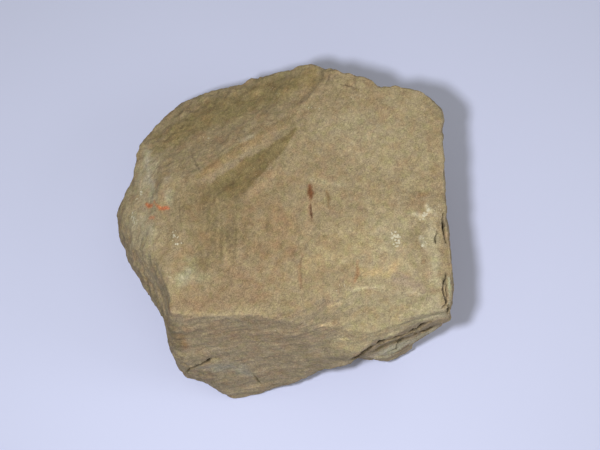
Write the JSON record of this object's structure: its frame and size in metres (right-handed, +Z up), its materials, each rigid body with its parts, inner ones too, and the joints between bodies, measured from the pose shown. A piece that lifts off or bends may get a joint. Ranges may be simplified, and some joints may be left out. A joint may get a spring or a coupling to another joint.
{
  "type": "shale hand specimen",
  "caption": "Blocky buff-olive shale hand specimen with a flat top, split slopes, a shallow flake scar and opening bed partings along its front and right edges.",
  "frame": {"origin": "on the ground, under the middle of the stone's bounding box", "axes": "+Z up out of the split top, the face that the stone rests on below, +X to the right and +Y away from the viewer who looks at the steep front face"},
  "size_m": [0.1088, 0.1046, 0.0506],
  "materials": {
    "shale": "dry, matt, fine silty grain with laminae"
  },
  "bodies": {
    "root": {"shale": "shale"}
  },
  "joints": []
}
